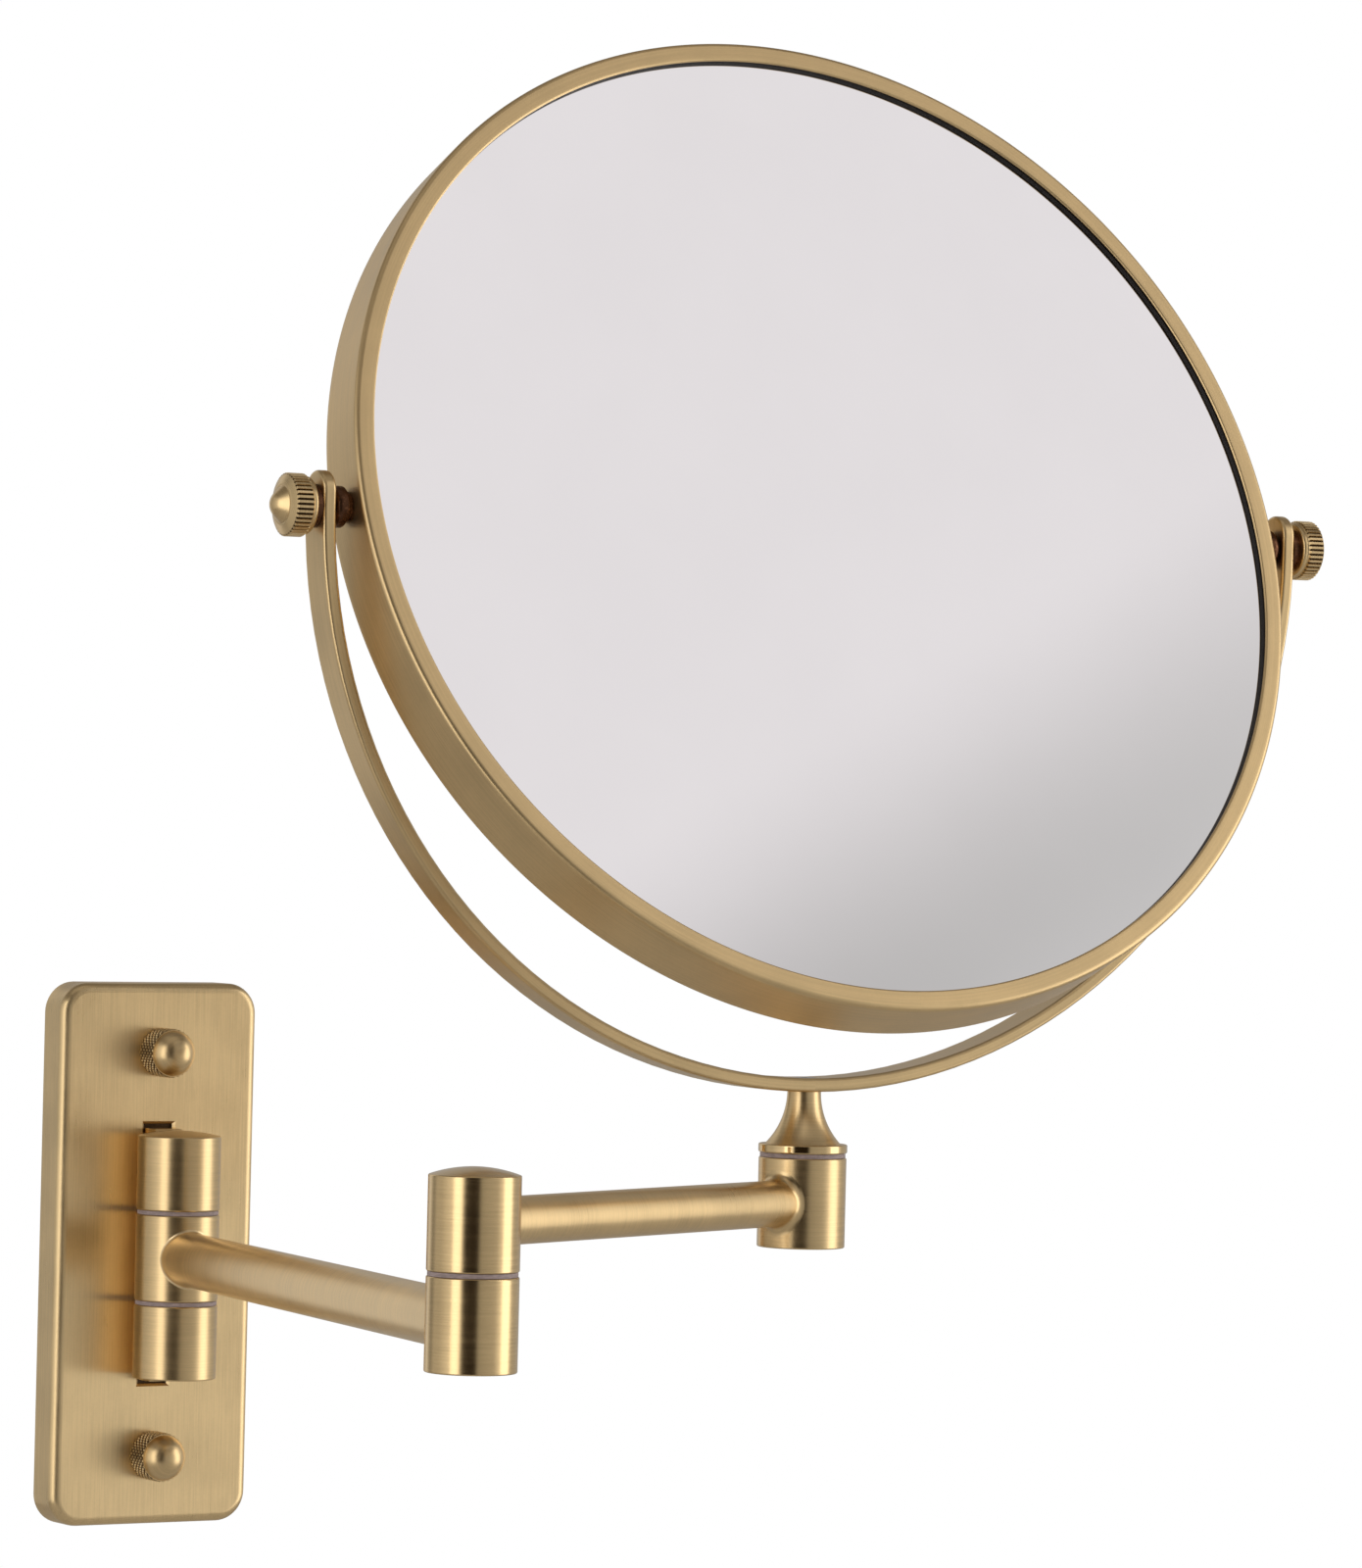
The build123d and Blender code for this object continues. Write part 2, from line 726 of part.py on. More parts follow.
def knurl_outline():
    """Toothed disc: each rib has a flat top and straight flanks."""
    pitch = 2 * math.pi / knob_rib_count
    root = knob_radius - knob_rib_depth
    corners = (
        (-knob_rib_share / 2, knob_radius),
        (knob_rib_share / 2, knob_radius),
        (0.5 - knob_groove_share / 2, root),
        (0.5 + knob_groove_share / 2, root),
    )
    points = []
    for rib in range(knob_rib_count):
        for share, radius in corners:
            angle = (rib + share) * pitch
            points.append((radius * math.cos(angle), radius * math.sin(angle)))
    return make_face(Polyline(*points, points[0]).edges())


# Assembly: every piece in the row frame, under its node's name

stud_above, stud_below = stud_places()
stud = make_stud()
thumb_nut = make_thumb_nut()
pieces = {
    "cover_plate": make_cover_plate(),
    "mounting_strap": make_mounting_strap(),
    "upper_stud": stud_above * stud,
    "lower_stud": stud_below * stud,
    "upper_thumb_nut": stud_above * thumb_nut,
    "lower_thumb_nut": stud_below * thumb_nut,
    "upper_hinge_barrel": make_hinge_barrel(1),
    "lower_hinge_barrel": make_hinge_barrel(-1),
    "hinge_back_plate": make_hinge_back_plate(),
    "lug_screws": make_lug_screws(),
    "upper_hinge_washer": wall_hinge_frame * nylon_washer(knuckle_length / 2),
    "lower_hinge_washer": wall_hinge_frame * nylon_washer(-upper_barrel_foot),
    "hinge_screw": wall_hinge_frame
    * shoulder_screw(
        screw_head_foot(-upper_barrel_head),
        upper_barrel_foot,
        screw_thread_radius,
        hinge_thread_depth,
    ),
    "hinge_spring_washer": wall_hinge_frame * spring_washer(-upper_barrel_head),
    "wall_knuckle": lower_arm_frame * make_wall_knuckle(),
    "lower_arm_tube": lower_arm_frame
    * arm_tube(
        lower_arm_length,
        lower_tube_radius,
        0,
        lower_braze_radius,
        lower_braze_radius,
    ),
    "elbow_lower_barrel": elbow_place * make_elbow_lower_barrel(),
    "elbow_washer": elbow_place * nylon_washer(-elbow_foot),
    "elbow_upper_barrel": upper_arm_frame * make_elbow_upper_barrel(),
    "elbow_screw": upper_arm_frame
    * shoulder_screw(
        screw_head_foot(elbow_foot),
        elbow_upper_foot,
        screw_thread_radius,
        hinge_thread_depth,
    ),
    "elbow_spring_washer": upper_arm_frame * spring_washer(elbow_foot),
    "upper_arm_tube": upper_arm_frame
    * arm_tube(
        upper_arm_length,
        upper_tube_radius,
        upper_arm_height,
        upper_braze_radius,
        saddle_radius,
    ),
    "end_barrel": swivel_place * make_end_barrel(),
    "swivel_washer": swivel_place * nylon_washer(end_barrel_head),
    "yoke_stem": yoke_frame * make_yoke_stem(),
    "yoke_strip": yoke_frame * make_yoke_strip(),
    "yoke_screw": yoke_frame * make_yoke_screw(),
    "swivel_screw": yoke_frame
    * shoulder_screw(
        screw_head_foot(end_barrel_foot),
        collar_foot,
        swivel_thread_radius,
        swivel_thread_depth,
    ),
    "swivel_spring_washer": yoke_frame * spring_washer(end_barrel_foot),
    "front_rim": mirror_frame * make_front_rim(),
    "rear_rim": mirror_frame * make_rear_rim(),
    "plain_glass": mirror_frame * make_plain_glass(),
    "magnifying_glass": mirror_frame * make_magnifying_glass(),
    "front_gasket": mirror_frame * gasket_ring(glass_face),
    "rear_gasket": mirror_frame * gasket_ring(-glass_face - gasket_thickness),
    "backing_disc": mirror_frame * make_backing_disc(),
    "glass_spacer_ring": mirror_frame * make_spacer_ring(),
}

for side, turn in (("left", -90), ("right", 90)):
    along = Rot(0, turn, 0)
    pieces[f"{side}_pivot_stud"] = mirror_frame * along * make_pivot_stud()
    pieces[f"{side}_pivot_spacer"] = mirror_frame * along * make_pivot_spacer()
    pieces[f"{side}_pivot_washer"] = pivot_frame * along * make_pivot_washer()
    pieces[f"{side}_knob"] = mirror_frame * along * make_knob()

os.makedirs("parts", exist_ok=True)
for name, piece in pieces.items():
    piece.label = name
    export_step(piece, f"parts/{name}.step")

# Places that the record states
for name, place in (
    ("elbow", elbow_place),
    ("swivel", swivel_place),
    ("mirror pivot", pivot_frame),
):
    print(name, [round(value, 3) for value in place.position])
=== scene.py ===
import json
import math

import bpy
import numpy as np
from bpy.props import FloatProperty, FloatVectorProperty, IntProperty, PointerProperty
from mathutils import Matrix, Vector


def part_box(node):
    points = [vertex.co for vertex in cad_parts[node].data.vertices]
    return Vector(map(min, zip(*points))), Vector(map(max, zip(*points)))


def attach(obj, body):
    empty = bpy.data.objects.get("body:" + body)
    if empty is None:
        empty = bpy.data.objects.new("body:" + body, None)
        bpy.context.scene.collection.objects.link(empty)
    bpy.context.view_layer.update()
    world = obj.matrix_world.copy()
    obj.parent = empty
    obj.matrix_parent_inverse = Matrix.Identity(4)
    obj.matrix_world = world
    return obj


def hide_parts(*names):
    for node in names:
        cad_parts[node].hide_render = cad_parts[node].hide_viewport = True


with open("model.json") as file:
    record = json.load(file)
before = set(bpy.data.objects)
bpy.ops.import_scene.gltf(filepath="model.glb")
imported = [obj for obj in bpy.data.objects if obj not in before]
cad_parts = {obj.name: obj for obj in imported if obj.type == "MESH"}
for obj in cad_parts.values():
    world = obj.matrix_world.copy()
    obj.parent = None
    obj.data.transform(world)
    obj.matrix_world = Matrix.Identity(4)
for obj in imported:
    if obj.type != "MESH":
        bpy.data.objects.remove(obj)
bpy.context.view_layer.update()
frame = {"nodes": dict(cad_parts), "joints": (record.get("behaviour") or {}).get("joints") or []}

bl_info = {
    "name": "Extendable Makeup Mirror",
    "version": (1, 0, 0),
    "blender": (4, 5, 0),
    "location": "View3D > Sidebar > Makeup Mirror",
    "description": "Dresses the packed solids of a brass wall mirror on a jointed arm",
    "category": "Object",
}

JOINTS = {joint["name"]: joint for joint in frame["joints"]}
HINGE = Vector(JOINTS["wall_hinge"]["pos_m"])
ELBOW = Vector(JOINTS["elbow_hinge"]["pos_m"])
SWIVEL = Vector(JOINTS["yoke_swivel"]["pos_m"])
PIVOT = Vector(JOINTS["mirror_tilt"]["pos_m"])
PIVOT_LINE = Vector(JOINTS["mirror_tilt"]["axis"])

MM = 0.001

# Height of the polished collar at the foot of the yoke's stem
COLLAR = 1.9 * MM

# Spacing of the fine lines that turning and brushing leave in the brass
LINE_PITCH = 0.35 * MM


def frame_of(origin, along):
    """Matrix that carries +Z to a direction and the origin to a point."""
    turn = Vector(along).normalized().to_track_quat("Z", "Y")
    return Matrix.Translation(origin) @ turn.to_matrix().to_4x4()


# The mirror's own frame: +Z out of the front glass, the tilt read from the glass's place
GLASS_LOW, GLASS_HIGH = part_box("plain_glass")
GLASS_CENTRE = (GLASS_LOW + GLASS_HIGH) / 2
MIRROR_FRONT = (GLASS_CENTRE - PIVOT).normalized()
MIRROR_FRAME = frame_of(PIVOT, MIRROR_FRONT)


# Shader nodes


class Value:
    """A number that changes over a surface. Arithmetic on it adds Math nodes."""

    def __init__(self, finish, socket):
        self.finish = finish
        self.socket = socket

    def maths(self, operation, *terms):
        inputs = dict(enumerate((self, *terms)))
        return self.finish.add("ShaderNodeMath", {"operation": operation}, inputs)["Value"]

    def __add__(self, other):
        return self.maths("ADD", other)

    def __sub__(self, other):
        return self.maths("SUBTRACT", other)

    def __rsub__(self, other):
        return (self * -1) + other

    def __mul__(self, other):
        return self.maths("MULTIPLY", other)

    def __truediv__(self, other):
        return self.maths("DIVIDE", other)

    def __pow__(self, other):
        return self.maths("POWER", other)


class Finish:
    """The node tree of one finish, or of the world."""

    def __init__(self, tree):
        self.tree = tree
        self.tree.nodes.clear()

    def add(self, kind, settings=None, inputs=None):
        """Adds a node: its settings first, then the value or link of each socket."""
        node = self.tree.nodes.new(kind)
        for name, value in (settings or {}).items():
            if name == "stops":
                self.set_stops(node.color_ramp, value)
            else:
                setattr(node, name, value)
        for key, value in (inputs or {}).items():
            socket = node.inputs[key] if isinstance(key, int) else self.open_input(node, key)
            if isinstance(value, Value):
                self.tree.links.new(value.socket, socket)
            else:
                socket.default_value = value
        return {out.name: Value(self, out) for out in node.outputs if out.enabled}

    @staticmethod
    def open_input(node, name):
        return next(s for s in node.inputs if s.name == name and s.enabled)

    @staticmethod
    def set_stops(ramp, stops):
        while len(ramp.elements) < len(stops):
            ramp.elements.new(0.5)
        for element, (place, colour) in zip(ramp.elements, stops):
            element.position = place
            element.color = colour

    def ramp(self, value, stops):
        """Colour ramp over a value; grey stops may be given as plain numbers."""
        full = [(p, (c, c, c, 1) if isinstance(c, (int, float)) else (*c, 1)) for p, c in stops]
        return self.add("ShaderNodeValToRGB", {"stops": full}, {"Fac": value})["Color"]

    def blend(self, share, first, second):
        """Mix of two colours."""
        inputs = {"Factor": share, "A": opaque(first), "B": opaque(second)}
        return self.add("ShaderNodeMix", {"data_type": "RGBA"}, inputs)["Result"]

    def span(self, value, low, high, to_low=0.0, to_high=1.0):
        """Value carried smoothly from one range to another, held at the ends."""
        inputs = {
            "Value": value,
            "From Min": low,
            "From Max": high,
            "To Min": to_low,
            "To Max": to_high,
        }
        settings = {"interpolation_type": "SMOOTHSTEP"}
        return self.add("ShaderNodeMapRange", settings, inputs)["Result"]

    def coordinates(self, place):
        """Object coordinates in the frame of one piece, in metres."""
        point = self.add("ShaderNodeTexCoord")["Object"]
        location, turn, _ = place.decompose()
        inputs = {"Vector": point, "Location": location, "Rotation": turn.to_euler()}
        return self.add("ShaderNodeMapping", {"vector_type": "TEXTURE"}, inputs)["Vector"]

    def parts_of(self, vector):
        """The three numbers of a vector."""
        split = self.add("ShaderNodeSeparateXYZ", None, {"Vector": vector})
        return split["X"], split["Y"], split["Z"]

    def vector(self, x, y, z):
        """A vector from three numbers."""
        return self.add("ShaderNodeCombineXYZ", None, {"X": x, "Y": y, "Z": z})["Vector"]

    def scaled(self, vector, factors):
        """A vector with each part multiplied."""
        settings = {"operation": "MULTIPLY"}
        return self.add("ShaderNodeVectorMath", settings, {0: vector, 1: factors})["Vector"]

    def noise(self, vector, detail=2.0, roughness=0.5):
        """Smooth noise around one half, one unit of the vector to a blot."""
        inputs = {"Vector": vector, "Scale": 1.0, "Detail": detail, "Roughness": roughness}
        return self.add("ShaderNodeTexNoise", None, inputs)["Fac"]

    def bump(self, height, depth):
        """Normal from a height between 0 and 1 that stands depth metres high."""
        inputs = {"Height": height, "Distance": depth, "Strength": 1.0}
        return self.add("ShaderNodeBump", None, inputs)["Normal"]


def opaque(colour):
    return colour if isinstance(colour, Value) or len(colour) == 4 else (*colour, 1)


def new_finish(name, constants, make_inputs):
    """A material: fixed numbers on the shader, then what varies over the surface."""
    material = bpy.data.materials.new(name)
    material.use_nodes = True
    finish = Finish(material.node_tree)
    surface = finish.add("ShaderNodeBsdfPrincipled", None, constants | make_inputs(finish))
    finish.add("ShaderNodeOutputMaterial", None, {"Surface": surface["BSDF"]})
    return material


# Finishes


def lines_about_axis(finish, place, pitch):
    """Turning lines: noise that varies fast along the axis and slowly round it."""
    point = finish.coordinates(place)
    return finish.scaled(point, (90, 90, 1 / pitch))


def lines_round_face(finish, place, pitch):
    """Spinning lines on a flat ring and its wall: fast with radius and height."""
    x, y, z = finish.parts_of(finish.coordinates(place))
    radius = (x * x + y * y) ** 0.5
    angle = x.maths("ARCTAN2", y)
    return finish.vector(radius / pitch, z / pitch, angle * 2.5)


def lines_along(finish, place, pitch):
    """Brushed lines along the piece's Z, fast across it."""
    point = finish.coordinates(place)
    return finish.scaled(point, (1 / pitch, 1 / pitch, 60))


def satin_tone(finish, place, pattern, tint, sheen):
    """Base colour, roughness and normal of lacquered satin brass."""
    lines = finish.noise(pattern(finish, place, LINE_PITCH), 3.0, 0.6)
    point = finish.coordinates(place)
    pits = finish.noise(finish.scaled(point, (1500, 1500, 1500)), 2.0, 0.6)
    cloud = finish.noise(finish.scaled(point, (70, 70, 70)), 3.0, 0.5)
    deep = tuple(c * 0.90 for c in tint)
    pale = tuple(min(1.0, c * 1.05) for c in tint)
    tone = finish.span(lines * 0.5 + cloud * 0.4 + pits * 0.1, 0.36, 0.64)
    rough = finish.span(lines * 0.6 + cloud * 0.4, 0.3, 0.7, sheen - 0.03, sheen + 0.04)
    return {
        "Base Color": finish.blend(tone, deep, pale),
        "Roughness": rough,
        "Normal": finish.bump(lines * 0.8 + pits * 0.2, 0.005 * MM),
    }


def satin_brass(name, place, pattern, tint, sheen, turn=0.0, spread=0.0):
    """Lacquered satin brass: fine lines, faint pits and slow changes of tone."""

    def vary(finish):
        return satin_tone(finish, place, pattern, tint, sheen)

    constants = {"Metallic": 1.0}
    if spread:
        constants |= {"Anisotropic": spread, "Anisotropic Rotation": turn}
    return new_finish(name, constants, vary)


def knurled_brass(name, place, tint, sheen, root, crest, low, high):
    """Satin brass whose grooves are dark: root and crest are the band's radii.

    The band runs from height low to high. Where the radius falls from the crest to the
    root, the colour goes over to a painted shade, dark brown deep in the grooves.
    """

    def vary(finish):
        inputs = satin_tone(finish, place, lines_about_axis, tint, sheen)
        x, y, z = finish.parts_of(finish.coordinates(place))
        radius = (x * x + y * y) ** 0.5
        # Painted shade: the colour darkens to dark brown towards the grooves' floors, where
        # shade falls between the ridges
        deep = finish.span(radius, root + (crest - root) * 0.85, root)
        inside = finish.span(z, low, low + 0.2 * MM) * finish.span(z, high, high - 0.2 * MM)
        groove_shade = (0.055, 0.028, 0.012)
        inputs["Base Color"] = finish.blend(deep * inside, inputs["Base Color"], groove_shade)
        return inputs

    return new_finish(name, {"Metallic": 1.0}, vary)


def rim_brass(name, place, tint, sheen, opening, lip):
    """Spun satin brass, with painted shade on the opening's wall below the lip's height."""

    def vary(finish):
        inputs = satin_tone(finish, place, lines_round_face, tint, sheen)
        x, y, z = finish.parts_of(finish.coordinates(place))
        radius = (x * x + y * y) ** 0.5
        # Painted shade: the opening's wall below the lip is coloured near black, standing in for
        # the shade and dark reflection in that recess
        wall = finish.span(radius, opening + 0.12 * MM, opening + 0.03 * MM)
        low = finish.span(z, lip, lip - 0.08 * MM)
        wall_shade = (0.020, 0.014, 0.010)
        inputs["Base Color"] = finish.blend(wall * low, inputs["Base Color"], wall_shade)
        return inputs

    return new_finish(name, {"Metallic": 1.0}, vary)


def stem_brass(name, place, tint, sheen, ledge):
    """Polished collar below the ledge's height, a satin trumpet above it."""

    def vary(finish):
        inputs = satin_tone(finish, place, lines_about_axis, tint, sheen)
        z = finish.parts_of(finish.coordinates(place))[2]
        above = finish.span(z, ledge - 0.2 * MM, ledge)
        polished = 0.1
        inputs["Roughness"] = inputs["Roughness"] * above + (1.0 - above) * polished
        return inputs

    return new_finish(name, {"Metallic": 1.0}, vary)


def bronze_finish(name, place, tint):
    """Dark brown bronze with rubbed lighter patches."""

    def vary(finish):
        point = finish.coordinates(place)
        rubbed = finish.noise(finish.scaled(point, (900, 900, 900)), 4.0, 0.6)
        fine = finish.noise(finish.scaled(point, (4000, 4000, 4000)), 2.0, 0.5)
        pale = tuple(min(1.0, c * 2.2) for c in tint)
        return {
            "Base Color": finish.blend(finish.span(rubbed, 0.5, 0.72), tint, pale),
            "Roughness": finish.span(fine, 0.3, 0.7, 0.26, 0.42),
            "Normal": finish.bump(fine, 0.01 * MM),
        }

    return new_finish(name, {"Metallic": 1.0}, vary)


def nylon_finish(name, place, tint):
    """Moulded nylon: matte and faintly mottled. matte, faintly mottled, darker where the barrels
    rub.
    """

    def vary(finish):
        point = finish.coordinates(place)
        mottle = finish.noise(finish.scaled(point, (700, 700, 2500)), 3.0, 0.5)
        deep = tuple(c * 0.72 for c in tint)
        return {
            "Base Color": finish.blend(finish.span(mottle, 0.35, 0.65), deep, tint),
            "Roughness": finish.span(mottle, 0.3, 0.7, 0.42, 0.6),
            "Normal": finish.bump(mottle, 0.01 * MM),
        }

    return new_finish(name, {"Specular IOR Level": 0.4}, vary)


def silvered_finish(name, place, tint):
    """Silvered glass: near-perfect reflection with the faintest haze."""

    def vary(finish):
        point = finish.coordinates(place)
        haze = finish.noise(finish.scaled(point, (25, 25, 25)), 3.0, 0.6)
        dust = finish.noise(finish.scaled(point, (1800, 1800, 1800)), 1.0, 0.5)
        deep = tuple(c * 0.985 for c in tint)
        return {
            "Base Color": finish.blend(finish.span(haze, 0.3, 0.7), deep, tint),
            "Roughness": finish.span(dust, 0.45, 0.85, 0.012, 0.03),
        }

    return new_finish(name, {"Metallic": 1.0}, vary)


def rubber_finish(name, place, tint):
    """Black rubber, matte, with a fine grain."""

    def vary(finish):
        point = finish.coordinates(place)
        grain = finish.noise(finish.scaled(point, (3000, 3000, 3000)), 3.0, 0.6)
        pale = tuple(c * 1.7 for c in tint)
        return {
            "Base Color": finish.blend(finish.span(grain, 0.35, 0.65), tint, pale),
            "Roughness": finish.span(grain, 0.3, 0.7, 0.5, 0.7),
            "Normal": finish.bump(grain, 0.02 * MM),
        }

    return new_finish(name, {"Specular IOR Level": 0.35}, vary)


def steel_finish(name, place, tint):
    """Zinc-plated steel with faint spangle and scratches."""

    def vary(finish):
        point = finish.coordinates(place)
        spangle = finish.noise(finish.scaled(point, (350, 350, 350)), 3.0, 0.6)
        scratch = finish.noise(finish.scaled(point, (300, 300, 4500)), 2.0, 0.6)
        deep = tuple(c * 0.8 for c in tint)
        return {
            "Base Color": finish.blend(finish.span(spangle, 0.35, 0.65), deep, tint),
            "Roughness": finish.span(scratch, 0.3, 0.7, 0.24, 0.4),
            "Normal": finish.bump(scratch, 0.006 * MM),
        }

    return new_finish(name, {"Metallic": 1.0}, vary)


def board_finish(name, place, tint):
    """Pressed board: flecked fibres, fully matte."""

    def vary(finish):
        point = finish.coordinates(place)
        fibres = finish.noise(finish.scaled(point, (500, 1600, 900)), 4.0, 0.65)
        deep = tuple(c * 0.6 for c in tint)
        return {
            "Base Color": finish.blend(finish.span(fibres, 0.35, 0.65), deep, tint),
            "Roughness": finish.span(fibres, 0.3, 0.7, 0.75, 0.9),
            "Normal": finish.bump(fibres, 0.05 * MM),
        }

    return new_finish(name, {"Specular IOR Level": 0.25}, vary)


def dress(material, *nodes):
    """Gives CAD nodes one finish."""
    for name in nodes:
        slots = frame["nodes"][name].material_slots
        for slot in slots:
            slot.material = material


# Surfaces


def turned_surface(name, place, radii, heights, sharp_degrees=40.0):
    """Surface of revolution about the place's +Z.

    Radii is a grid: row by row along the profile, column by column round the axis. Heights
    has one column, the same all round. Each point is (radius cos angle, radius sin angle,
    height). The first and the last row are poles on the axis, and the last column joins
    the first.
    """
    rows, columns = radii.shape
    angles = np.arange(columns) * (2 * math.pi / columns)
    body = np.stack(
        [radii * np.cos(angles), radii * np.sin(angles), heights + 0 * radii], axis=-1
    )
    inner = body[1:-1].reshape(-1, 3)
    poles = np.array([[0, 0, heights[0, 0]], [0, 0, heights[-1, 0]]])
    points = np.vstack([inner, poles])
    index = np.arange((rows - 2) * columns).reshape(rows - 2, columns)
    after = np.roll(index, -1, axis=1)
    quads = np.stack([index[:-1], after[:-1], after[1:], index[1:]], axis=-1).reshape(-1, 4)
    low, high = len(inner), len(inner) + 1
    foot = np.stack([after[0], index[0], np.full(columns, low)], axis=-1)
    head = np.stack([index[-1], after[-1], np.full(columns, high)], axis=-1)
    return surface_object(name, place, points, [quads, foot, head], sharp_degrees)


def ring_surface(name, place, profile, columns, sharp_degrees=40.0):
    """Ring about the place's +Z: a closed outline of (radius, height) carried round it.

    Each point is (radius cos angle, radius sin angle, height). The outline runs with the
    solid on its left, and both grid directions join at their ends.
    """
    angles = np.arange(columns) * (2 * math.pi / columns)
    radius = profile[:, 0][:, None]
    height = profile[:, 1][:, None]
    grid = np.stack(
        [radius * np.cos(angles), radius * np.sin(angles), height + 0 * angles], axis=-1
    )
    index = np.arange(len(profile) * columns).reshape(len(profile), columns)
    after = np.roll(index, -1, axis=1)
    above = np.roll(index, -1, axis=0)
    both = np.roll(after, -1, axis=0)
    quads = np.stack([index, after, both, above], axis=-1).reshape(-1, 4)
    return surface_object(name, place, grid.reshape(-1, 3), [quads], sharp_degrees)


def surface_object(name, place, points, faces, sharp_degrees):
    """Mesh object at the origin, with its place worked into its points."""
    turn = np.array(place.to_3x3())
    points = points @ turn.T + np.array(place.translation)
    mesh = bpy.data.meshes.new(name)
    corners = np.concatenate([group.reshape(-1) for group in faces])
    sizes = np.concatenate([np.full(len(group), group.shape[1]) for group in faces])
    starts = np.concatenate([[0], np.cumsum(sizes)[:-1]])
    mesh.vertices.add(len(points))
    mesh.vertices.foreach_set("co", points.astype(np.float32).ravel())
    mesh.loops.add(len(corners))
    mesh.loops.foreach_set("vertex_index", corners.astype(np.int32))
    mesh.polygons.add(len(sizes))
    mesh.polygons.foreach_set("loop_start", starts.astype(np.int32))
    mesh.polygons.foreach_set("loop_total", sizes.astype(np.int32))
    mesh.update(calc_edges=True)
    mesh.validate()
    mesh.shade_smooth()
    mesh.set_sharp_from_angle(angle=math.radians(sharp_degrees))
    piece = bpy.data.objects.new(name, mesh)
    bpy.context.scene.collection.objects.link(piece)
    return piece


def outline(*runs):
    """Profile points from runs: each is an array of (radius, height) rows."""
    return np.vstack(runs)


def straight(start, end, count):
    """Evenly spaced points of a straight run, without its end."""
    share = np.arange(count)[:, None] / count
    return np.array(start) * (1 - share) + np.array(end) * share


def arc(centre, radius, start, end, count):
    """Points of an arc from one angle to another, in degrees, without its end."""
    angle = np.radians(start + (end - start) * np.arange(count) / count)
    middle = np.array(centre)
    return middle + radius * np.stack([np.cos(angle), np.sin(angle)], axis=-1)


# Sizes and colours


def length(label, description, default):
    return FloatProperty(
        name=label, description=description, default=default, unit="LENGTH", precision=5
    )


def colour(label, description, default):
    return FloatVectorProperty(
        name=label,
        description=description,
        default=default,
        size=3,
        subtype="COLOR",
        min=0.0,
        max=1.0,
    )


class MirrorRimSizes(bpy.types.PropertyGroup):
    """Sizes of the mirror's front rim"""

    radius: length("Radius", "Radius over the side wall", 113.45 * MM)
    opening: length("Opening", "Radius of the opening over the glass", 109.0 * MM)
    half_depth: length("Half depth", "From the pivots' line to the front face", 7.6 * MM)
    wall: length("Wall", "Thickness of the sheet", 1.0 * MM)
    outer_round: length("Outer round", "Rounding between side wall and face", 1.1 * MM)
    inner_round: length("Inner round", "Rounding at the opening", 0.45 * MM)
    rear_round: length("Rear round", "Rounding at the back edge", 0.5 * MM)


class MirrorGlassSizes(bpy.types.PropertyGroup):
    """Sizes of the concave glass"""

    radius: length("Radius", "Radius of the glass", 111.0 * MM)
    rise: length("Rise", "How far the middle is dished inwards", 6.2 * MM)
    thickness: length("Thickness", "Thickness of the glass", 2.0 * MM)
    face: length("Face", "From the pivots' line to the glass's edge", 6.0 * MM)


class MirrorNutSizes(bpy.types.PropertyGroup):
    """Sizes of the two thumb nuts on the wall plate"""

    ridges: IntProperty(
        name="Ridges", description="Ridges of each helix round the band", default=26
    )
    band: length("Band", "Length of the knurled band", 6.4 * MM)
    depth: length("Knurl depth", "Depth of the knurl's grooves", 0.5 * MM)


class MirrorKnobSizes(bpy.types.PropertyGroup):
    """Sizes of the two pivot knobs"""

    ribs: IntProperty(name="Ribs", description="Ribs round the knob", default=40)
    depth: length("Rib depth", "Depth of the grooves between the ribs", 0.45 * MM)


class MirrorColours(bpy.types.PropertyGroup):
    """Colours of the finishes"""

    brass: colour("Brass", "Satin brass of the arms and barrels", (0.735, 0.533, 0.275))
    plate: colour("Plate", "Satin brass of the wall plate", (0.800, 0.590, 0.312))
    # Painted light: the lower tube gets a brighter brass than the other pieces, standing in for
    # the light it catches
    tube: colour("Tube", "Satin brass of the lower arm's tube", (0.90, 0.675, 0.375))
    bronze: colour("Bronze", "Spacers and washers at the pivots", (0.11, 0.050, 0.026))
    nylon: colour("Nylon", "Washers between the barrels", (0.47, 0.36, 0.34))
    silver: colour("Silver", "Silvering of both glasses", (0.93, 0.915, 0.92))
    rubber: colour("Rubber", "Gaskets of the glasses", (0.016, 0.013, 0.012))
    steel: colour("Steel", "Strap, studs and screws", (0.56, 0.56, 0.57))
    # Painted shade: a near-black steel behind the slots, so that the slots read as shadowed
    # hollows
    slot_shade_steel: colour("Black steel", "Blackened plate behind the slots", (0.07, 0.042, 0.022))
    board: colour("Board", "Filler behind the glasses", (0.30, 0.25, 0.19))
    floor: colour("Floor", "Pale floor under the object", (0.86, 0.86, 0.86))


class MirrorStudio(bpy.types.PropertyGroup):
    """Levels of the studio"""

    left_box: FloatProperty(name="Left box", description="Power of the left box", default=5.5)
    right_box: FloatProperty(name="Right box", description="Power of the right box", default=9.0)
    overhead: FloatProperty(name="Overhead", description="Power of the top box", default=2.2)
    floor_drop: length("Floor drop", "Depth of the floor below the origin", 0.9)


# Operators


